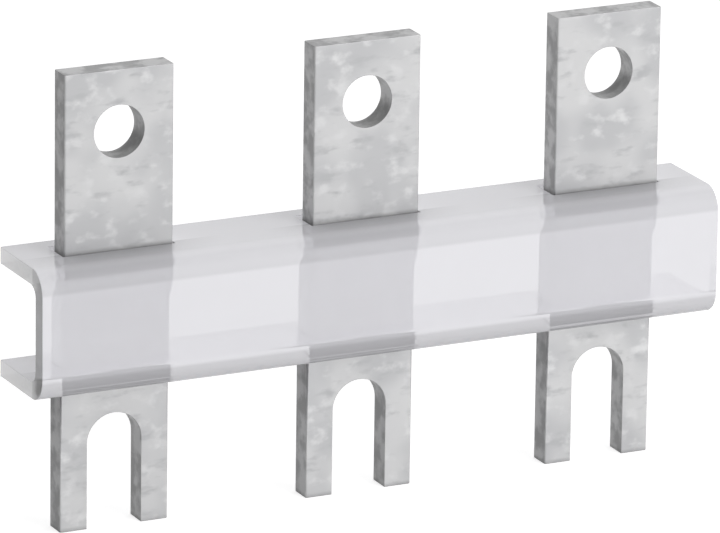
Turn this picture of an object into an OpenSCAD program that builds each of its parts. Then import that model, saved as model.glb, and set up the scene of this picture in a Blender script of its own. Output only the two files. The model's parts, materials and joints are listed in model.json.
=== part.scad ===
// Three-pole connecting busbar: three joggled, tin-plated copper bars held side by side
// in a clear insulating cover. Millimetres, +X along the row, +Y to the back, +Z up.
// The origin is the centre of the middle bar's bolt hole, on the tab's rear contact face.

/* [Row] */
// Distance from one bar's centre line to the next
pole_pitch = 45; // [30:0.5:70]

/* [Bar strip] */
// Width of the copper strip
bar_w = 19.5; // [15:0.1:28]
// Thickness of the copper strip
bar_t = 4.3; // [2:0.1:8]
// Width of the 45-degree break along the strip's long edges
edge_break = 0.3; // [0.1:0.05:1]

/* [Upper tab] */
// Diameter of the bolt hole
hole_d = 9; // [5:0.1:12]
// Height of the bolt hole's centre above the cover
hole_rise = 20.2; // [10:0.1:40]
// Length of the tab beyond the bolt hole's centre
hole_end = 10.5; // [7:0.1:20]

/* [Fork] */
// Width of the slot between the fork's legs
fork_slot_w = 9.8; // [5:0.1:12]
// Depth of the slot from the legs' ends to its round crown
fork_slot_depth = 19.75; // [12:0.05:40]
// Height of solid strip between the slot's crown and the cover
fork_neck = 6.25; // [2:0.05:20]

/* [Joggle] */
// Step from the tab's plane back to the fork's plane
joggle_step = 1.5; // [0.5:0.1:4]
// Depth of the joggle's start below the top of the cover
joggle_drop = 6; // [4:0.1:10]
// Radius on the inside of the joggle's two bends
bend_r = 0.7; // [0.3:0.1:3]

/* [Insulating cover] */
// Length of cover beyond the outer bars' edges
cover_overhang = 7.5; // [3:0.1:20]
// Height over both flanges
cover_h = 22.4; // [18:0.1:40]
// Thickness of the front wall and the flanges
wall = 2.9; // [1.5:0.1:3.6]
// Distance from the inside of the front wall back to the tabs' front faces
front_gap = 5.35; // [4:0.05:12]
// Distance from the forks' rear faces back to the flanges' rear edges
flange_tail = 3.35; // [1:0.05:10]
// Radius of the profile's outer front corners
corner_r = 4.2; // [2:0.1:6]
// Radius of the profile's inner front corners
inner_corner_r = 2; // [0.5:0.1:3]
// Gap between a bar and the sides of its slots in the cover
slot_gap = 0.25; // [0.1:0.05:0.6]

/* [Hidden] */

// Segments of a full circle, and of each bend
$fn = 96;
bend_steps = 8;
// Length by which a cut runs past the faces that it opens
cut_past = 1;

// Centre planes of the tab and of the fork: the tab's rear face is at y = 0
tab_y = -bar_t / 2;
fork_y = tab_y + joggle_step;

// Heights along a bar, from the bolt hole's centre
tab_top_z = hole_end;
cover_top_z = -hole_rise;
cover_bottom_z = cover_top_z - cover_h;
fork_end_z = cover_bottom_z - fork_neck - fork_slot_depth;
joggle_top_z = cover_top_z - joggle_drop;

// The joggle's two equal and opposite bends, on the strip's middle line, as [y, z] centres
bend_mid_r = bend_r + bar_t / 2;
bend_angle = acos(1 - joggle_step / (2 * bend_mid_r));
upper_bend = [tab_y + bend_mid_r, joggle_top_z];
lower_bend = upper_bend - 2 * bend_mid_r * [cos(bend_angle), sin(bend_angle)];

// The cover's extent along the row and from front to back
cover_len = 2 * (pole_pitch + bar_w / 2 + cover_overhang);
cover_front_y = -bar_t - front_gap - wall;
cover_d = wall + front_gap + bar_t + joggle_step + flange_tail;

// Points on an arc round a centre, both ends included
function arc(centre, r, from, to) =
    [for (i = [0 : bend_steps])
        let (a = from + (to - from) * i / bend_steps)
        centre + r * [cos(a), sin(a)]];

// Points [y, z] down the strip's side, on the line that runs ahead of its middle by a distance
function strip_line(ahead) = concat(
    [[tab_y - ahead, tab_top_z]],
    arc(upper_bend, bend_mid_r + ahead, 180, 180 + bend_angle),
    arc(lower_bend, bend_mid_r - ahead, bend_angle, 0),
    [[fork_y - ahead, fork_end_z]]);

// A list in the opposite order
function reversed(list) = [for (i = [len(list) - 1 : -1 : 0]) list[i]];

// Strip of the bar's width: the side profile, drawn across the row
module plain_strip() {
    rotate([90, 0, 90])
        linear_extrude(height = bar_w, center = true)
            polygon(concat(strip_line(bar_t / 2), reversed(strip_line(-bar_t / 2))));
}

// Slab across the strip's diagonal that follows the joggle and breaks two opposite long edges
module edge_trim(turn) {
    reach = bar_w / 2 - edge_break;
    sides = [for (side = [-1, 1])
        [for (p = strip_line(-side * sign(turn) * bar_t / 2))
            [p[0] * sin(turn) + side * reach * cos(turn), p[1]]]];
    rotate([0, 0, turn])
        rotate([90, 0, 0])
            linear_extrude(height = 2 * (bar_w + bar_t), center = true)
                polygon(concat(sides[0], reversed(sides[1])));
}

// The whole strip, bent back from the tab's plane and then down again into the fork's plane
module joggled_strip() {
    intersection() {
        plain_strip();
        edge_trim(45);
        edge_trim(-45);
    }
}

// Cutter for the bolt hole, through the tab from front to back
module bolt_hole() {
    translate([0, tab_y, 0])
        rotate([90, 0, 0])
            cylinder(d = hole_d, h = bar_t + 2 * cut_past, center = true);
}

// Cutter for the fork's slot: open at the legs' ends, with a half-round crown
module fork_slot() {
    crown_z = fork_slot_depth - fork_slot_w / 2;
    translate([0, fork_y, fork_end_z])
        rotate([90, 0, 0])
            linear_extrude(height = bar_t + 2 * cut_past, center = true) {
                translate([0, crown_z])
                    circle(d = fork_slot_w);
                translate([-fork_slot_w / 2, -cut_past])
                    square([fork_slot_w, crown_z + cut_past]);
            }
}

// One bar at its place in the row: -1 is left, 0 is the middle and 1 is right
module busbar(place) {
    color("silver")
        translate([place * pole_pitch, 0, 0])
            difference() {
                joggled_strip();
                bolt_hole();
                fork_slot();
            }
}

// Rectangle from y = 0 backwards and z = 0 upwards, with its two front corners rounded
module round_fronted(depth, height, r) {
    translate([r, 0])
        square([depth - r, height]);
    translate([0, r])
        square([depth, height - 2 * r]);
    for (z = [r, height - r])
        translate([r, z])
            circle(r);
}

// Section of the cover: a C that is open at the back
module cover_section() {
    difference() {
        round_fronted(cover_d, cover_h, corner_r);
        translate([wall, wall])
            round_fronted(cover_d - wall + cut_past, cover_h - 2 * wall, inner_corner_r);
    }
}

// Cutter for a bar's slot through one flange, from a front to a rear face of the bar
module flange_slot(front_y, rear_y, flange_low_z) {
    translate([-bar_w / 2 - slot_gap, front_y - slot_gap, flange_low_z - cut_past])
        cube([bar_w + 2 * slot_gap, rear_y - front_y + 2 * slot_gap, wall + 2 * cut_past]);
}

// The upper slots are long enough for the joggle to pass through as a bar is dropped in
// from above, and the lower slots fit the fork's plane
module insulating_cover() {
    color("lavender", 0.5)
        difference() {
            translate([0, cover_front_y, cover_bottom_z])
                rotate([90, 0, 90])
                    linear_extrude(height = cover_len, center = true)
                        cover_section();
            for (place = [-1, 0, 1])
                translate([place * pole_pitch, 0, 0]) {
                    flange_slot(-bar_t, joggle_step, cover_top_z - wall);
                    flange_slot(joggle_step - bar_t, joggle_step, cover_bottom_z);
                }
        }
}

insulating_cover();
busbar(-1);  // busbar_l1
busbar(0);  // busbar_l2
busbar(1);  // busbar_l3
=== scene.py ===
# %% [markdown]
# # A connecting busbar: tinned copper bars in a clear cover
# The real part is three flat copper bars, tin-plated, that stand side by side in the slots of a
# clear plastic cover. Each bar has a bolt hole at the top, a small step in its middle that the
# trade calls a joggle, and an open fork below. The construction comes in as a fixed frame at its
# real size, and this script gives it the edges, finishes and light that a photograph shows.

# %% Load the frame
import json
import math

import bmesh
import bpy
from mathutils import Matrix, Vector


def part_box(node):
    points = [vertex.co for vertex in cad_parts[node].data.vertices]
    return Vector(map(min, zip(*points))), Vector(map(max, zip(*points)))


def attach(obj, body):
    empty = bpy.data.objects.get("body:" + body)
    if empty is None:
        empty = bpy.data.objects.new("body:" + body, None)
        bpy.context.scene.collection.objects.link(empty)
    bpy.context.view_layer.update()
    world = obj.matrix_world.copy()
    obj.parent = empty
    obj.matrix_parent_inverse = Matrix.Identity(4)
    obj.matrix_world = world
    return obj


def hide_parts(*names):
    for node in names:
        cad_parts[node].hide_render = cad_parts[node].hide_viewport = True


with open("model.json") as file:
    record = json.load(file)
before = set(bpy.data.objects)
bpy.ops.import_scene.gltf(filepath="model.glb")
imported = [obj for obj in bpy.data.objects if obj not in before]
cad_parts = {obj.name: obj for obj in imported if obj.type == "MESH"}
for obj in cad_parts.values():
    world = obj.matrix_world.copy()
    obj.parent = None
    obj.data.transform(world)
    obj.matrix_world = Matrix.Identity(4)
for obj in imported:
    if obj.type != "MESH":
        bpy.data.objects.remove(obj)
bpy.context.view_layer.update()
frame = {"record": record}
scene = bpy.context.scene
scene.view_settings.view_transform = "Standard"

# %% [markdown]
# ## Sizes
# Every size that the frame holds is read from it, so that the pieces land where the construction
# says. The boxes give the outer sizes, and the mounts give the bolt hole and the crown of the
# fork. The few sizes that no box shows, such as a wall, are written down once, in millimetres.

# %% Sizes of the bars and the cover
MM = 0.001
BAR_NAMES = ("busbar_l1", "busbar_l2", "busbar_l3")
COVER_NAME = "insulating_cover"

mounts = {mount["name"]: mount for mount in frame["record"]["mounts"]}
bar_low, bar_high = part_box("busbar_l2")
cover_low, cover_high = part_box(COVER_NAME)

hole_centre = Vector(mounts["bolt_hole_l2"]["pos_m"])
hole_radius = mounts["bolt_hole_l2"]["dims"]["r_mm"] * MM
crown_centre = Vector(mounts["fork_l2"]["pos_m"])
fork_slot_width = 9.8 * MM

bar_width = bar_high.x - bar_low.x
bar_thickness = hole_centre.y - bar_low.y
joggle_step = bar_high.y - hole_centre.y
joggle_drop = 6.0 * MM
bend_inner_radius = 0.7 * MM
bar_edge_radius = 0.3 * MM

cover_wall = 2.9 * MM
cover_outer_radius = 4.2 * MM
cover_inner_radius = 2.0 * MM
slot_gap = 0.25 * MM

print(f"bar {bar_width / MM:.2f} x {bar_thickness / MM:.2f} mm, step {joggle_step / MM:.2f} mm")
print("cover in mm:", [round(side / MM, 2) for side in cover_high - cover_low])

# %% [markdown]
# ## Camera
# A catalogue picture like this one is taken from far away through a long lens, so that parallel
# edges stay nearly parallel. The camera is described by the point that it aims at, its distance,
# how far it has turned to the right and looks down, and a slight roll.

# %% Camera
aim_point = Vector((-2.748, -8.015, -27.211)) * MM
camera_distance = 1345.66 * MM
turned_right = math.radians(25.8576)
looks_down = math.radians(17.1773)
rolled = math.radians(0.7964)

camera_data = bpy.data.cameras.new("catalogue_camera")
camera_data.sensor_width = 36.0
camera_data.lens = 404.674
camera = bpy.data.objects.new("catalogue_camera", camera_data)
camera_turn = (
    Matrix.Rotation(-turned_right, 4, "Z")
    @ Matrix.Rotation(math.pi / 2 - looks_down, 4, "X")
    @ Matrix.Rotation(rolled, 4, "Z")
)
stand_off = Matrix.Translation((0, 0, camera_distance))
camera.matrix_world = Matrix.Translation(aim_point) @ camera_turn @ stand_off
scene.collection.objects.link(camera)
scene.camera = camera
print("camera at", [round(value, 4) for value in camera.matrix_world.translation])

# %% [markdown]
# ## Shop tools
# A few small helpers do what a workshop does again and again: draw a face out into a solid,
# round a corner, turn a finished shape into an object, punch a hole and soften the edges. The
# punch is a Boolean modifier that is applied at once, so that the piece keeps a plain mesh and no
# cutter stays in the scene.

# %% Helpers for shapes
# Bevel profile of a quarter circle, and the index that leaves a bevel's material as it is
ROUND_PROFILE = 0.5
SAME_MATERIAL = -1
SOFT_STEPS = 2
SHARP_ANGLE = math.radians(40)


def only(items, kind):
    """Those of an operator's results that are of one kind, such as faces."""
    return [item for item in items if isinstance(item, kind)]


def drawn_out(shape, face, move):
    """Extrudes a face along a vector and returns the face at the new end."""
    grown = bmesh.ops.extrude_face_region(shape, geom=[face])["geom"]
    end = only(grown, bmesh.types.BMFace)[0]
    bmesh.ops.translate(shape, verts=end.verts[:], vec=move)
    return end


def rounded(shape, corners, radius, steps, affect):
    """Rounds the corners of a face or the edges of a solid."""
    bmesh.ops.bevel(
        shape,
        geom=corners,
        offset=radius,
        segments=steps,
        profile=ROUND_PROFILE,
        affect=affect,
        material=SAME_MATERIAL,
    )


def new_piece(name, shape):
    """Turns a bmesh into an object at the origin, with its faces pointing outwards."""
    bmesh.ops.recalc_face_normals(shape, faces=shape.faces[:])
    mesh = bpy.data.meshes.new(name)
    shape.to_mesh(mesh)
    shape.free()
    piece = bpy.data.objects.new(name, mesh)
    scene.collection.objects.link(piece)
    return piece


def punch(piece, cutters):
    """Takes the cutters' solids away from a piece, and removes the cutters."""
    for cutter in cutters:
        cut = piece.modifiers.new(cutter.name, "BOOLEAN")
        cut.operation = "DIFFERENCE"
        cut.solver = "EXACT"
        cut.object = cutter
    whole_mesh = piece.data
    evaluated = piece.evaluated_get(bpy.context.evaluated_depsgraph_get())
    punched_mesh = bpy.data.meshes.new_from_object(evaluated)
    piece.modifiers.clear()
    piece.data = punched_mesh
    bpy.data.meshes.remove(whole_mesh)
    for cutter in cutters:
        bpy.data.meshes.remove(cutter.data)


def soften_edges(piece, width):
    """Rounds the sharp edges that are left, and shades round stretches smooth and flat ones flat."""
    piece.data.shade_smooth()
    softened = piece.modifiers.new("softened_edges", "BEVEL")
    softened.width = width
    softened.segments = SOFT_STEPS
    softened.limit_method = "ANGLE"
    softened.angle_limit = SHARP_ANGLE
    piece.modifiers.new("flat_faces_stay_flat", "WEIGHTED_NORMAL")


# %% [markdown]
# ## Bars
# A bar starts as flat strip with rolled, slightly rounded long edges. It could be drawn as an
# outline and given a thickness, but the joggle would then need its own curve. Here the strip's
# small end face is pushed along the bar's own path instead: straight down, round the first bend,
# back round the second one, and straight down again. The spin operator makes each bend.

# %% The joggled strip
BEND_STEPS = 10
EDGE_STEPS = 4

tab_rear_y = hole_centre.y
tab_middle_y = bar_low.y + bar_thickness / 2
bend_middle_radius = bend_inner_radius + bar_thickness / 2
bend_angle = math.acos(1 - joggle_step / (2 * bend_middle_radius))
joggle_top_z = cover_high.z - joggle_drop


def bent(shape, face, centre, angle):
    """Pushes a face round a bend whose axis runs along the row, and returns the face at its end."""
    bend = bmesh.ops.spin(
        shape,
        geom=[face, *face.edges, *face.verts],
        cent=centre,
        axis=(1, 0, 0),
        angle=angle,
        steps=BEND_STEPS,
    )
    return only(bend["geom_last"], bmesh.types.BMFace)[0]


def joggled_strip():
    """Strip at the middle of the row, with its step but without its hole and fork."""
    strip = bmesh.new()
    corners = (
        (bar_low.x, bar_low.y),
        (bar_high.x, bar_low.y),
        (bar_high.x, tab_rear_y),
        (bar_low.x, tab_rear_y),
    )
    strip.faces.new([strip.verts.new((x, y, bar_high.z)) for x, y in corners])
    rounded(strip, strip.verts[:], bar_edge_radius, EDGE_STEPS, "VERTICES")
    strip.faces.ensure_lookup_table()
    end = drawn_out(strip, strip.faces[0], Vector((0, 0, joggle_top_z - bar_high.z)))
    upper_centre = Vector((0, tab_middle_y + bend_middle_radius, joggle_top_z))
    end = bent(strip, end, upper_centre, bend_angle)
    reach = Vector((0, math.cos(bend_angle), math.sin(bend_angle))) * 2 * bend_middle_radius
    end = bent(strip, end, upper_centre - reach, -bend_angle)
    end_z = end.calc_center_median().z
    drawn_out(strip, end, Vector((0, 0, bar_low.z - end_z)))
    return strip


strip_piece = new_piece("strip", joggled_strip())
strip_depths = [vert.co.y / MM for vert in strip_piece.data.vertices]
print(f"strip reaches from y = {min(strip_depths):.2f} to {max(strip_depths):.2f} mm")

# %% [markdown]
# ## Bolt hole and fork
# The hole and the fork's slot are punched, so their walls are straight and their rims crisp. The
# hole's cutter is a cylinder. The slot's cutter is half a disc whose flat side is drawn down past
# the end of the legs. Both cutters are made once and punched out of the strip before it is copied.

# %% Punch the hole and the fork
ROUND_STEPS = 96
cut_past = 2.0 * MM
punch_length = bar_thickness + joggle_step + 2 * cut_past
punch_start_y = bar_low.y - cut_past


def upright_disc(centre, radius):
    """Round face in front of the bar, square to the bolt's axis."""
    disc = bmesh.new()
    place = Matrix.Translation((centre.x, punch_start_y, centre.z))
    bmesh.ops.create_circle(
        disc,
        cap_ends=True,
        segments=ROUND_STEPS,
        radius=radius,
        matrix=place @ Matrix.Rotation(math.pi / 2, 4, "X"),
    )
    return disc


def hole_cutter():
    """Cylinder through the tab, along the bolt's axis."""
    pin = upright_disc(hole_centre, hole_radius)
    drawn_out(pin, pin.faces[:][0], Vector((0, punch_length, 0)))
    return new_piece("hole_cutter", pin)


def fork_cutter():
    """Slot with a half-round crown, open at the ends of the legs."""
    slot = upright_disc(crown_centre, fork_slot_width / 2)
    bmesh.ops.bisect_plane(
        slot,
        geom=slot.verts[:] + slot.edges[:] + slot.faces[:],
        plane_co=crown_centre,
        plane_no=(0, 0, 1),
        clear_inner=True,
    )
    flat_side = max(slot.edges, key=lambda edge: edge.calc_length())
    grown = bmesh.ops.extrude_edge_only(slot, edges=[flat_side])["geom"]
    lower_ends = only(grown, bmesh.types.BMVert)
    below_legs_z = bar_low.z - cut_past
    bmesh.ops.translate(slot, verts=lower_ends, vec=(0, 0, below_legs_z - crown_centre.z))
    grown = bmesh.ops.extrude_face_region(slot, geom=slot.faces[:])["geom"]
    far_side = only(grown, bmesh.types.BMVert)
    bmesh.ops.translate(slot, verts=far_side, vec=(0, punch_length, 0))
    return new_piece("fork_cutter", slot)


punch(strip_piece, [hole_cutter(), fork_cutter()])
print("punched strip:", len(strip_piece.data.polygons), "faces")

# %% [markdown]
# ## Three bars in a row
# The three bars are the same stamping, so one mesh is copied to each place in the row. The shift
# goes into the mesh and not into the object. A pattern that reads Object coordinates then differs
# from bar to bar, just as no two plated bars look alike.

# %% Place the bars
bar_rim_softness = 0.1 * MM
bars = []
for name in BAR_NAMES:
    low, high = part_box(name)
    mesh = strip_piece.data.copy()
    mesh.name = name
    mesh.transform(Matrix.Translation(((low.x + high.x) / 2, 0, 0)))
    bar = bpy.data.objects.new("plated_" + name, mesh)
    scene.collection.objects.link(bar)
    soften_edges(bar, bar_rim_softness)
    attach(bar, "root")
    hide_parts(name)
    bars.append(bar)
    print(bar.name, "from x =", round(low.x / MM, 2), "to", round(high.x / MM, 2), "mm")
bpy.data.meshes.remove(strip_piece.data)

# %% [markdown]
# ## Cover
# The cover is a length of extruded C-section, open at the back, with a slot through each flange
# for every bar. Its section is a few corners drawn out along the row. The front corners are then
# bevelled, with a large radius outside and a smaller one inside. Sharp corners would be easier,
# but it is the round ones that give the clear plastic its soft bands.

# %% The cover's C-section
OUTER_STEPS = 20
INNER_STEPS = 14
SAME_PLACE = 0.001 * MM

inner_front_y = cover_low.y + cover_wall
inner_low_z = cover_low.z + cover_wall
inner_high_z = cover_high.z - cover_wall


def runs_along_row(edge, y, z):
    """True for an edge that runs along the row at one depth and height."""
    ends = [vert.co for vert in edge.verts]
    return all(abs(end.y - y) < SAME_PLACE and abs(end.z - z) < SAME_PLACE for end in ends)


def rounded_long_edges(shape, y, heights, radius, steps):
    """Rounds the edges that run along the row at one depth and the given heights."""
    edges = [edge for edge in shape.edges if any(runs_along_row(edge, y, z) for z in heights)]
    rounded(shape, edges, radius, steps, "EDGES")


def c_section():
    """The cover without its slots."""
    section = bmesh.new()
    corners = (
        (cover_low.y, cover_low.z),
        (cover_high.y, cover_low.z),
        (cover_high.y, inner_low_z),
        (inner_front_y, inner_low_z),
        (inner_front_y, inner_high_z),
        (cover_high.y, inner_high_z),
        (cover_high.y, cover_high.z),
        (cover_low.y, cover_high.z),
    )
    end = section.faces.new([section.verts.new((cover_low.x, y, z)) for y, z in corners])
    drawn_out(section, end, Vector((cover_high.x - cover_low.x, 0, 0)))
    outer_heights = (cover_low.z, cover_high.z)
    inner_heights = (inner_low_z, inner_high_z)
    rounded_long_edges(section, cover_low.y, outer_heights, cover_outer_radius, OUTER_STEPS)
    rounded_long_edges(section, inner_front_y, inner_heights, cover_inner_radius, INNER_STEPS)
    return section


cover = new_piece("clear_cover", c_section())
print("cover section:", len(cover.data.polygons), "faces")

# %% [markdown]
# ## Slots in the cover
# A bar is dropped in from above. The upper slot is therefore as deep as the tab and the step
# together, while the lower slot fits the fork alone. Each is a plain box, a small gap wider than
# the bar all round.

# %% Cut the slots
def slot_cutter(middle_x, front_y, low_z):
    """Box that opens one slot, from a front face of the bar back to the fork's rear face."""
    margin = Vector((slot_gap, slot_gap, cut_past))
    size = Vector((bar_width, bar_high.y - front_y, cover_wall)) + margin * 2
    middle = Vector((middle_x, (front_y + bar_high.y) / 2, low_z + cover_wall / 2))
    place = Matrix.Translation(middle) @ Matrix.Diagonal(size).to_4x4()
    block = bmesh.new()
    bmesh.ops.create_cube(block, size=1.0, matrix=place)
    return new_piece("slot_cutter", block)


cutters = []
for name in BAR_NAMES:
    low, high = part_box(name)
    middle_x = (low.x + high.x) / 2
    cutters.append(slot_cutter(middle_x, bar_low.y, inner_high_z))
    cutters.append(slot_cutter(middle_x, bar_low.y + joggle_step, cover_low.z))
punch(cover, cutters)
cover_rim_softness = 0.15 * MM
soften_edges(cover, cover_rim_softness)
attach(cover, "root")
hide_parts(COVER_NAME)
print("slotted cover:", len(cover.data.polygons), "faces")

# %% [markdown]
# ## Cloudy mask
# Plated metal and clear plastic both vary softly over their surface: the tin has pale and grey
# clouds, and the plastic has slightly hazier places. A node group makes that soft mask once, from
# a noise texture, and each material places it with its own size and contrast.

# %% Node group for soft clouds
def add_node(tree, kind, **settings):
    """Adds a node and sets its properties."""
    node = tree.nodes.new(kind)
    for name, value in settings.items():
        setattr(node, name, value)
    return node


def soft_clouds_group():
    """Group that turns a position into a soft mask from 0 to 1."""
    group = bpy.data.node_groups.new("soft_clouds", "ShaderNodeTree")
    group.interface.new_socket("Position", in_out="INPUT", socket_type="NodeSocketVector")
    for name in ("Clouds per Metre", "Detail", "Low", "High"):
        group.interface.new_socket(name, in_out="INPUT", socket_type="NodeSocketFloat")
    group.interface.new_socket("Mask", in_out="OUTPUT", socket_type="NodeSocketFloat")
    entry = add_node(group, "NodeGroupInput")
    leave = add_node(group, "NodeGroupOutput")
    noise = add_node(group, "ShaderNodeTexNoise")
    spread = add_node(group, "ShaderNodeMapRange", interpolation_type="SMOOTHSTEP")
    group.links.new(entry.outputs["Position"], noise.inputs["Vector"])
    group.links.new(entry.outputs["Clouds per Metre"], noise.inputs["Scale"])
    group.links.new(entry.outputs["Detail"], noise.inputs["Detail"])
    group.links.new(noise.outputs["Fac"], spread.inputs["Value"])
    group.links.new(entry.outputs["Low"], spread.inputs["From Min"])
    group.links.new(entry.outputs["High"], spread.inputs["From Max"])
    group.links.new(spread.outputs["Result"], leave.inputs["Mask"])
    return group


soft_clouds = soft_clouds_group()
print("node group:", soft_clouds.name)

# %% [markdown]
# ## Mixing colours
# Every finish of the part starts from one Principled shader. Its colour is mixed in steps, each by
# a mask, as a painter lays one thin glaze over another. A single colour ramp could hold all the
# tones too, but separate glazes keep their own size and strength and are easier to tune.

# %% Helpers for colours and values
def new_material(name):
    """A node material with a Principled shader; returns the material, its tree and the shader."""
    material = bpy.data.materials.new(name)
    material.use_nodes = True
    tree = material.node_tree
    return material, tree, tree.nodes["Principled BSDF"]


def placed_clouds(tree, position, per_metre, low, high, detail=3.0):
    """Places the cloud group in a material and returns its mask."""
    clouds = add_node(tree, "ShaderNodeGroup", node_tree=soft_clouds)
    clouds.inputs["Clouds per Metre"].default_value = per_metre
    clouds.inputs["Low"].default_value = low
    clouds.inputs["High"].default_value = high
    clouds.inputs["Detail"].default_value = detail
    tree.links.new(position, clouds.inputs["Position"])
    return clouds.outputs["Mask"]


def blended(tree, mask, first, second):
    """Mixes two colours by a mask; either may be a plain colour or another node's output."""
    mix = add_node(tree, "ShaderNodeMix", data_type="RGBA")
    tree.links.new(mask, mix.inputs["Factor"])
    for socket, colour in ((mix.inputs["A"], first), (mix.inputs["B"], second)):
        if isinstance(colour, tuple):
            socket.default_value = (*colour, 1.0)
        else:
            tree.links.new(colour, socket)
    return mix.outputs["Result"]


def between(tree, mask, first, second):
    """Goes from one number to another as a mask goes from 0 to 1; the first may be an output."""
    spread = add_node(tree, "ShaderNodeMapRange")
    if isinstance(first, float):
        spread.inputs["To Min"].default_value = first
    else:
        tree.links.new(first, spread.inputs["To Min"])
    spread.inputs["To Max"].default_value = second
    tree.links.new(mask, spread.inputs["Value"])
    return spread.outputs["Result"]


# %% [markdown]
# ## Simple sums for masks
# A mask grows out of small sums: the larger of two values, a product, a test against a limit, or a
# slow change from one place on the part to another. Each of them is one Math or Map Range node.
# They could be placed and linked one by one for every finish, but the idea of a finish is easier
# to see when each sum has a name.

# %% Helpers for masks
def larger(tree, first, second):
    """The larger one of two values."""
    pick = add_node(tree, "ShaderNodeMath", operation="MAXIMUM")
    tree.links.new(first, pick.inputs[0])
    tree.links.new(second, pick.inputs[1])
    return pick.outputs["Value"]


def times(tree, value, factor):
    """A value multiplied by a plain number or by another node's output."""
    product = add_node(tree, "ShaderNodeMath", operation="MULTIPLY")
    tree.links.new(value, product.inputs[0])
    if isinstance(factor, float):
        product.inputs[1].default_value = factor
    else:
        tree.links.new(factor, product.inputs[1])
    return product.outputs["Value"]


def above(tree, value, limit):
    """Mask that is 1 where a value is above a limit."""
    test = add_node(tree, "ShaderNodeMath", operation="GREATER_THAN")
    test.inputs[1].default_value = limit
    tree.links.new(value, test.inputs[0])
    return test.outputs["Value"]


def ramp(tree, value, start, end, curve="LINEAR"):
    """Mask that goes from 0 to 1 as a value goes from a start to an end."""
    spread = add_node(tree, "ShaderNodeMapRange", interpolation_type=curve)
    spread.inputs["From Min"].default_value = start
    spread.inputs["From Max"].default_value = end
    tree.links.new(value, spread.inputs["Value"])
    return spread.outputs["Result"]


def part_of(tree, vector, axis):
    """One part of a vector: X, Y or Z."""
    parts = add_node(tree, "ShaderNodeSeparateXYZ")
    tree.links.new(vector, parts.inputs["Vector"])
    return parts.outputs[axis]


def object_place(tree):
    """The place of a surface point in the frame, in metres."""
    return add_node(tree, "ShaderNodeTexCoord").outputs["Object"]


def position_mask(tree, axis, start, end):
    """Mask that goes from 0 at one place on an axis to 1 at another."""
    return ramp(tree, part_of(tree, object_place(tree), axis), start, end)


# %% [markdown]
# ## Slot gaps, and metal behind the cover
# Hardly any light reaches the narrow gap between a bar and its slot, and an Ambient Occlusion node
# finds such places; that shade is painted into the metal's colour. Behind the milky cover a bar
# keeps its outline but loses its clouds and its shine. Light Path counts how often a ray has passed
# through plastic, so the metal can turn even and matte there, and only there. Its colour is painted
# paler there as well, as painted light for the soft light inside the cover. The painted shade then
# follows the heights of the two flanges instead, and metal that is seen through deeper, clear faces
# stays light.

# %% Masks for gaps and for the cover
OCCLUSION_SAMPLES = 8
# Painted shade in a slot's gap, in the open and behind the cover
GAP_COLOUR = (0.15, 0.15, 0.15)
GAP_COLOUR_BEHIND = (0.46, 0.46, 0.46)

gap_reach = 0.9 * MM
# Heights at which a flange shades a bar in full, and at which the bar is light again
upper_shade_z = (inner_high_z - 0.2 * MM, inner_high_z - 1.2 * MM)
lower_shade_z = (inner_low_z - 0.15 * MM, inner_low_z - 0.05 * MM)


def open_surface(tree, reach):
    """Mask that is 1 on open surfaces and falls to 0 where another one is closer than the reach."""
    gap = add_node(tree, "ShaderNodeAmbientOcclusion", samples=OCCLUSION_SAMPLES)
    gap.inputs["Distance"].default_value = reach
    return gap.outputs["AO"]


def behind_cover(tree, faces=1):
    """Mask that is 1 for what is seen through at least so many faces of the cover's plastic."""
    rays = add_node(tree, "ShaderNodeLightPath")
    return above(tree, rays.outputs["Transmission Depth"], faces - 0.5)


def between_flanges(tree):
    """Mask that is 1 between the flanges; it ends softly at the upper and sharply at the lower one."""
    below_upper = position_mask(tree, "Z", *upper_shade_z)
    above_lower = position_mask(tree, "Z", *lower_shade_z)
    return times(tree, below_upper, above_lower)


def toned_metal(tree, behind, colour, painted_even_colour):
    """The metal's colour, painted paler and even behind the cover and painted dark in a slot's gap."""
    gap_colour = blended(tree, behind, GAP_COLOUR, GAP_COLOUR_BEHIND)
    colour = blended(tree, behind, colour, painted_even_colour)
    in_the_open = between(tree, behind, open_surface(tree, gap_reach), 0.0)
    inside_cover = times(tree, between_flanges(tree), behind)
    rays = add_node(tree, "ShaderNodeLightPath")
    lit = larger(tree, larger(tree, in_the_open, inside_cover), rays.outputs["Transparent Depth"])
    return blended(tree, lit, gap_colour, colour)


print("behind the cover a bar is light from z =", round(lower_shade_z[1] / MM, 2), "mm")
print("up to z =", round(upper_shade_z[1] / MM, 2), "mm")

# %% [markdown]
# ## Tin plating
# Matte tin on copper is a pale grey metal with broad soft clouds, pale patches a few millimetres
# across and short grey streaks along the row. An image could show them, but it would need a UV
# map and would repeat from bar to bar. Three noise masks on Object coordinates give each bar its
# own pattern instead, and the broad clouds vary the roughness a little as well.

# %% Material of the bars' broad faces
CLOUD_TONES = ((0.475, 0.477, 0.486), (0.595, 0.595, 0.599))
TIN_STREAK = (0.44, 0.442, 0.451)
TIN_PATCH = (0.635, 0.635, 0.639)
# Painted light: behind the cover the tin is painted an even, paler tone for the soft light there
TIN_PAINTED_LIGHT_BEHIND = (0.77, 0.77, 0.774)
TIN_METALLIC = 0.6
TIN_ROUGHNESS = (0.48, 0.6)
STREAK_RATIO = 2.6
PATCH_RATIO = 1.4


def drawn_along_row(tree, position, ratio):
    """A position in which patterns come out longer along the row by a ratio."""
    stretched = add_node(tree, "ShaderNodeMapping")
    stretched.inputs["Scale"].default_value = (1.0 / ratio, 1.0, 1.0)
    tree.links.new(position, stretched.inputs["Vector"])
    return stretched.outputs["Vector"]


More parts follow.
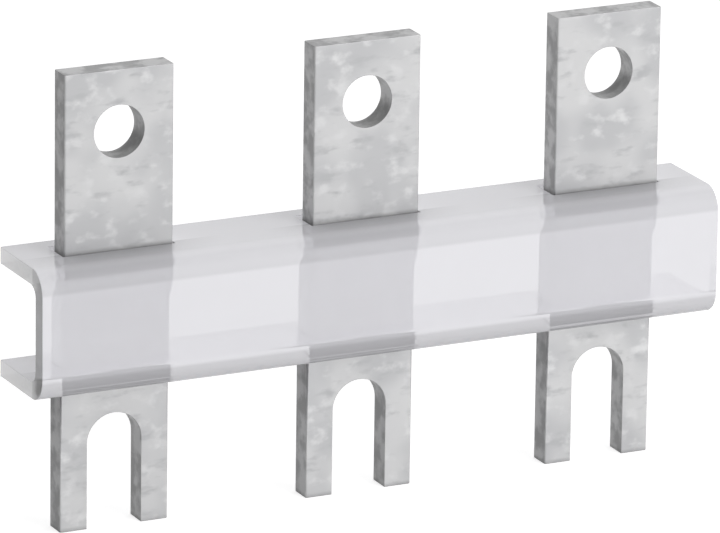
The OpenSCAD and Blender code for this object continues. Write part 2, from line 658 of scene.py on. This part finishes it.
def tin_plating():
    """Pale matte tin with broad clouds, grey streaks and pale patches."""
    material, tree, shader = new_material("tin_plating")
    place = object_place(tree)
    streak_place = drawn_along_row(tree, place, STREAK_RATIO)
    patch_place = drawn_along_row(tree, place, PATCH_RATIO)
    clouds = placed_clouds(tree, place, per_metre=84.0, low=0.36, high=0.62, detail=2.0)
    streaks = placed_clouds(tree, streak_place, per_metre=560.0, low=0.52, high=0.76)
    patches = placed_clouds(tree, patch_place, per_metre=430.0, low=0.5, high=0.76)
    colour = blended(tree, clouds, *CLOUD_TONES)
    colour = blended(tree, streaks, colour, TIN_STREAK)
    colour = blended(tree, patches, colour, TIN_PATCH)
    behind = behind_cover(tree)
    colour = toned_metal(tree, behind, colour, TIN_PAINTED_LIGHT_BEHIND)
    tree.links.new(colour, shader.inputs["Base Color"])
    tree.links.new(between(tree, behind, TIN_METALLIC, 1.0), shader.inputs["Metallic"])
    rough = between(tree, clouds, *TIN_ROUGHNESS)
    tree.links.new(between(tree, behind, rough, 1.0), shader.inputs["Roughness"])
    return material


tin = tin_plating()
print("made", tin.name, "with", len(tin.node_tree.nodes), "nodes")

# %% [markdown]
# ## Cut faces
# The strip is sheared to width and length, and the hole and the fork are punched. A cut face is
# rougher than the rolled one, takes the tin unevenly and looks a duller grey. The floor of the
# bolt hole also lies in shade, which is painted into the colour. A wide Ambient Occlusion mask
# finds it, and it acts only on faces that look up, so the walls of the hole and the fork keep their
# tone. A slanted gradient of painted light over the whole row makes the upright cut faces a little
# paler from the lower left to the upper right. The cut faces get a second material slot, which is
# simpler than one material that tells faces apart.

# %% Material of the cut faces
# Darker and paler clouds on a cut face at the row's lower left and, with painted light, at its upper
# right
LOWER_LEFT_TONES = ((0.44, 0.44, 0.445), (0.7, 0.7, 0.705))
UPPER_RIGHT_TONES = ((0.55, 0.55, 0.555), (0.875, 0.875, 0.88))
CUT_SHADE = (0.04, 0.04, 0.04)
# Painted light: behind the cover the cut faces are painted about as pale as the fronts look there
CUT_PAINTED_LIGHT_BEHIND = (0.9, 0.9, 0.905)
CUT_ROUGHNESS = 0.6
CUT_METALLIC = 0.15
# Direction of the painted light's pale gradient, in which a step up counts for more than a step to the
# right
RISE = (1.0, 0.0, 1.3)

rise_start = -60.0 * MM
rise_end = 30.0 * MM
hole_shade_reach = 11.0 * MM


def leaning(tree, start, end):
    """Mask from the height part of the surface's normal, 0 at a start value and 1 at an end value."""
    surface = add_node(tree, "ShaderNodeNewGeometry")
    return ramp(tree, part_of(tree, surface.outputs["Normal"], "Z"), start, end, "SMOOTHSTEP")


def painted_light_to_upper_right(tree, position):
    """Mask for painted light, 0 at the row's lower left and 1 at its upper right."""
    along = add_node(tree, "ShaderNodeVectorMath", operation="DOT_PRODUCT")
    along.inputs[1].default_value = RISE
    tree.links.new(position, along.inputs[0])
    return ramp(tree, along.outputs["Value"], rise_start, rise_end)


def cut_tin():
    """Duller and rougher tin, for sheared edges and punched walls."""
    material, tree, shader = new_material("cut_tin")
    place = object_place(tree)
    clouds = placed_clouds(tree, place, per_metre=330.0, low=0.38, high=0.64)
    colour = blended(tree, clouds, *LOWER_LEFT_TONES)
    paler = blended(tree, clouds, *UPPER_RIGHT_TONES)
    upright = leaning(tree, start=0.7, end=0.1)
    # Painted light: upright cut faces turn paler towards the row's upper right
    colour = blended(tree, times(tree, painted_light_to_upper_right(tree, place), upright), colour, paler)
    lit = larger(tree, open_surface(tree, hole_shade_reach), upright)
    colour = blended(tree, lit, CUT_SHADE, colour)
    behind = behind_cover(tree)
    colour = toned_metal(tree, behind, colour, CUT_PAINTED_LIGHT_BEHIND)
    tree.links.new(colour, shader.inputs["Base Color"])
    tree.links.new(between(tree, behind, CUT_ROUGHNESS, 1.0), shader.inputs["Roughness"])
    tree.links.new(between(tree, behind, CUT_METALLIC, 1.0), shader.inputs["Metallic"])
    return material


cut = cut_tin()
print("made", cut.name, "with", len(cut.node_tree.nodes), "nodes")

# %% [markdown]
# ## Two materials on one piece
# A bar wears plated tin on its rolled faces and duller tin on its cut ones. They could be selected
# by hand in Edit Mode, but a test of each face's direction finds them every time, and it still
# does so after a size has changed.

# %% Dress the bars
# A rolled face looks to the front or the back by more than this part of its normal
ROLLED_LEAN = 0.35


def dress(piece, main, other, wears_other):
    """Gives a piece two materials: the main one, and the other for faces that a test picks."""
    piece.data.materials.clear()
    piece.data.materials.append(main)
    piece.data.materials.append(other)
    for face in piece.data.polygons:
        face.material_index = 1 if wears_other(face) else 0


def is_cut(face):
    """True for a face that was sheared or punched."""
    return abs(face.normal.y) <= ROLLED_LEAN


for bar in bars:
    dress(bar, tin, cut, is_cut)
print("bars wear", tin.name, "and", cut.name)

# %% [markdown]
# ## Milky skin
# The cover is see-through but not like window glass: it is a little milky. A Principled shader
# with some Transmission gives both at once, because part of the light goes straight on and the
# rest scatters as from a plain pale surface. Every wall has two faces, though, and a ray may cross
# several walls, so milky faces all the way would hide the bars. Only the skin that a ray meets
# first is fully milky. Light Path and Backfacing tell the faces apart: the back of the first wall
# is a Glass shader, which bends the ray, and deeper faces are mostly Transparent, so the lower
# flange shows only faintly through the front wall. The sides of the upper slots are Transparent
# too, so that a bar's edge shows in its slot. Most of the lamp's light passes straight through as
# well, so the cover throws a faint shadow.

# %% Milky skin with clear faces behind it
PLASTIC_BEND = 1.1
DEEPER_CLEAR_SHARE = 0.6
LAMP_PASS_SHARE = 0.8
# A slot's side looks along the row by more than this part of its normal
SIDE_LEAN = 0.7


def mixed_shader(tree, share, first, second):
    """Mix Shader node that shows the second shader by a share."""
    mix = add_node(tree, "ShaderNodeMixShader")
    tree.links.new(share, mix.inputs["Fac"])
    tree.links.new(first, mix.inputs[1])
    tree.links.new(second, mix.inputs[2])
    return mix.outputs["Shader"]


def upper_slot_side(tree):
    """Mask that is 1 on faces of the upper flange that look along the row: the sides of its slots."""
    surface = add_node(tree, "ShaderNodeNewGeometry")
    sideways = add_node(tree, "ShaderNodeMath", operation="ABSOLUTE")
    tree.links.new(part_of(tree, surface.outputs["Normal"], "X"), sideways.inputs[0])
    height = part_of(tree, object_place(tree), "Z")
    in_upper_half = above(tree, height, (cover_low.z + cover_high.z) / 2)
    return times(tree, above(tree, sideways.outputs["Value"], SIDE_LEAN), in_upper_half)


def milky_skin(tree, shader, clear_faces=None):
    """Lets a shader act mainly where a ray meets the plastic from outside for the first time."""
    rays = add_node(tree, "ShaderNodeLightPath")
    surface = add_node(tree, "ShaderNodeNewGeometry")
    glass = add_node(tree, "ShaderNodeBsdfGlass")
    glass.inputs["Roughness"].default_value = 0.0
    glass.inputs["IOR"].default_value = PLASTIC_BEND
    clear = add_node(tree, "ShaderNodeBsdfTransparent")
    deeper = times(tree, behind_cover(tree), DEEPER_CLEAR_SHARE)
    front = mixed_shader(tree, deeper, shader.outputs["BSDF"], clear.outputs["BSDF"])
    straight = behind_cover(tree, faces=2)
    if clear_faces:
        straight = larger(tree, straight, clear_faces)
    back = mixed_shader(tree, straight, glass.outputs["BSDF"], clear.outputs["BSDF"])
    body = mixed_shader(tree, surface.outputs["Backfacing"], front, back)
    from_lamp = times(tree, rays.outputs["Is Shadow Ray"], LAMP_PASS_SHARE)
    whole = mixed_shader(tree, from_lamp, body, clear.outputs["BSDF"])
    tree.links.new(whole, tree.nodes["Material Output"].inputs["Surface"])


# %% [markdown]
# ## Clear plastic
# The plastic has a cool lavender cast. Its upright wall looks lightest. The rounded corners and
# the level flanges turn away from the front light and look greyer, so the profile shows as soft
# bands. The height part of the surface normal says how a stretch leans, and it tones the colour
# in steps, where a painted stripe would have to follow the corner's exact place. In front of each
# bar the flange lies in soft shade. A wide Ambient Occlusion mask finds it, and a mask of the depth
# keeps it to the bar's front.

# %% Material of the cover
WALL_TONES = ((0.875, 0.868, 0.91), (0.885, 0.878, 0.922))
UPPER_CORNER = (0.725, 0.72, 0.755)
FLANGE_TOP = (0.82, 0.815, 0.85)
LOWER_CORNER = (0.72, 0.714, 0.748)
FLANGE_SHADE = (0.1, 0.1, 0.1)
SKIN_CLEARNESS = 0.32
SKIN_SHINE = 0.2

flange_shade_reach = 9.0 * MM
# Depths between which the shade in front of a bar fades out
flange_shade_y = (bar_low.y, bar_low.y + 1.0 * MM)


def clear_plastic():
    """Slightly milky clear plastic with a lavender cast."""
    material, tree, shader = new_material("clear_plastic")
    haze = placed_clouds(tree, object_place(tree), per_metre=120.0, low=0.35, high=0.7)
    colour = blended(tree, haze, *WALL_TONES)
    colour = blended(tree, leaning(tree, start=0.02, end=0.2), colour, UPPER_CORNER)
    colour = blended(tree, leaning(tree, start=0.8, end=1.0), colour, FLANGE_TOP)
    colour = blended(tree, leaning(tree, start=-0.02, end=-0.2), colour, LOWER_CORNER)
    lit = larger(tree, open_surface(tree, flange_shade_reach), behind_cover(tree))
    lit = larger(tree, lit, position_mask(tree, "Y", *flange_shade_y))
    colour = blended(tree, lit, FLANGE_SHADE, colour)
    tree.links.new(colour, shader.inputs["Base Color"])
    shader.inputs["Roughness"].default_value = 0.0
    shader.inputs["Specular IOR Level"].default_value = SKIN_SHINE
    shader.inputs["Transmission Weight"].default_value = SKIN_CLEARNESS
    shader.inputs["IOR"].default_value = PLASTIC_BEND
    milky_skin(tree, shader, upper_slot_side(tree))
    return material


plastic = clear_plastic()
print("made", plastic.name, "with", len(plastic.node_tree.nodes), "nodes")

# %% [markdown]
# ## Sawn ends
# The profile is extruded by the metre and sawn to length. The saw leaves the two end faces matte,
# so they look greyer than the smooth skin. The end of the front wall is painted darkest, as shade
# for looking along the whole wall there, and the ends of the flanges are painted paler towards the
# open back, as painted light. As on the bars, a second material slot and a test of each face put
# the finish where it belongs.

# %% Material of the sawn ends
SAW_MARK_TONES = ((0.7, 0.7, 0.71), (0.76, 0.76, 0.77))
# Painted light and shade on the sawn ends: paler towards the open back, darkest at the front wall
REAR_PAINTED_LIGHT = (0.95, 0.94, 0.96)
WALL_END_PAINTED_SHADE = (0.53, 0.53, 0.535)
SAWN_ROUGHNESS = 0.2
SAWN_CLEARNESS = 0.45

# Depths between which the painted shade at the front wall's end fades into the ends of the flanges
wall_end_y = (inner_front_y + 1.0 * MM, inner_front_y + 1.5 * MM)
end_margin = 0.1 * MM


def sawn_plastic():
    """Greyer and duller plastic, for the two cut ends of the profile."""
    material, tree, shader = new_material("sawn_plastic")
    marks = placed_clouds(tree, object_place(tree), per_metre=900.0, low=0.35, high=0.7)
    behind_wall = position_mask(tree, "Y", *wall_end_y)
    rearward = position_mask(tree, "Y", inner_front_y, cover_high.y)
    colour = blended(tree, marks, *SAW_MARK_TONES)
    # Painted light towards the open back, and painted shade at the end of the front wall
    colour = blended(tree, rearward, colour, REAR_PAINTED_LIGHT)
    colour = blended(tree, behind_wall, WALL_END_PAINTED_SHADE, colour)
    tree.links.new(colour, shader.inputs["Base Color"])
    shader.inputs["Roughness"].default_value = SAWN_ROUGHNESS
    shader.inputs["Transmission Weight"].default_value = SAWN_CLEARNESS
    shader.inputs["IOR"].default_value = PLASTIC_BEND
    milky_skin(tree, shader)
    return material


def is_sawn(face):
    """True for a face at one of the profile's two ends."""
    from_left = abs(face.center.x - cover_low.x)
    from_right = abs(face.center.x - cover_high.x)
    return min(from_left, from_right) < end_margin


sawn = sawn_plastic()
dress(cover, plastic, sawn, is_sawn)
print("cover wears", plastic.name, "and", sawn.name)

# %% [markdown]
# ## Floor
# The part stands on its fork ends on a plain white floor that fills the whole background. The
# floor is a pale diffuse surface, which keeps the soft shadow. Some light of its own, seen only by
# camera, glossy and transmission rays, lifts it to the white of a catalogue page and sheds nothing
# on the part.

# %% Floor
FLOOR_GREY = (0.6, 0.6, 0.6, 1.0)
FLOOR_GLOW = 0.75


def seen_directly(tree):
    """Value that is 1 for camera, glossy and transmission rays, which show the background."""
    rays = add_node(tree, "ShaderNodeLightPath")
    straight = larger(tree, rays.outputs["Is Camera Ray"], rays.outputs["Is Transmission Ray"])
    return larger(tree, straight, rays.outputs["Is Glossy Ray"])


def white_floor():
    """Pale floor that keeps shadows and looks white to the camera."""
    material, tree, shader = new_material("white_floor")
    tree.nodes.remove(shader)
    diffuse = add_node(tree, "ShaderNodeBsdfDiffuse")
    diffuse.inputs["Color"].default_value = FLOOR_GREY
    glow = add_node(tree, "ShaderNodeEmission")
    tree.links.new(times(tree, seen_directly(tree), FLOOR_GLOW), glow.inputs["Strength"])
    both = add_node(tree, "ShaderNodeAddShader")
    tree.links.new(diffuse.outputs["BSDF"], both.inputs[0])
    tree.links.new(glow.outputs["Emission"], both.inputs[1])
    tree.links.new(both.outputs["Shader"], tree.nodes["Material Output"].inputs["Surface"])
    return material


floor_half_width = 3.0
floor_shape = bmesh.new()
bmesh.ops.create_grid(
    floor_shape,
    x_segments=1,
    y_segments=1,
    size=floor_half_width,
    matrix=Matrix.Translation((0, 0, bar_low.z)),
)
floor = new_piece("floor", floor_shape)
floor.data.materials.append(white_floor())
print("floor at z =", round(bar_low.z / MM, 2), "mm")

# %% [markdown]
# ## Light
# One large soft box stands to the front and right. A second lamp could fill in from the left, but
# it would flatten the contrast between the bars' fronts and their left edges, which shows how
# thick the bars are. Rays that have passed through the plastic don't show the lamp itself, so the
# cover's edges don't glare from behind.

# %% Lamp
def soft_box(name, place, target, size, power):
    """Square area lamp that faces a target."""
    lamp_data = bpy.data.lights.new(name, "AREA")
    lamp_data.size = size
    lamp_data.energy = power
    lamp = bpy.data.objects.new(name, lamp_data)
    lamp.location = place
    lamp.visible_transmission = False
    lamp.rotation_euler = (Vector(target) - Vector(place)).to_track_quat("-Z", "Y").to_euler()
    scene.collection.objects.link(lamp)
    return lamp


key = soft_box("key_soft_box", place=(0.6, -1.1, 0.45), target=(0, 0, -0.03), size=0.9, power=8.4)
print("lamp:", key.name)

# %% [markdown]
# ## Surroundings
# The world stands for the white studio round the part. It is white where it is seen directly or
# mirrored. For scattered light it is dim on the left and grows brighter to the right, so the bars'
# left edges turn a darker grey than their fronts. An image of a real studio could light the part
# too, but two numbers are easier to tune and bring no picture along.

# %% World
WORLD_WHITE = (1.0, 1.0, 1.0, 1.0)
LEFT_LIGHT = 0.13
RIGHT_LIGHT = 0.8
# Sideways part of the directions at which the light is dimmest and brightest
LEFT_SIDE = -0.7
RIGHT_SIDE = 0.7


def studio_world():
    """White world whose scattered light grows from left to right."""
    world = bpy.data.worlds.new("studio")
    world.use_nodes = True
    tree = world.node_tree
    background = tree.nodes["Background"]
    background.inputs["Color"].default_value = WORLD_WHITE
    direction = add_node(tree, "ShaderNodeTexCoord").outputs["Generated"]
    to_the_right = ramp(tree, part_of(tree, direction, "X"), LEFT_SIDE, RIGHT_SIDE)
    scattered = between(tree, to_the_right, LEFT_LIGHT, RIGHT_LIGHT)
    strength = between(tree, seen_directly(tree), scattered, 1.0)
    tree.links.new(strength, background.inputs["Strength"])
    return world


scene.world = studio_world()
print("world:", scene.world.name)
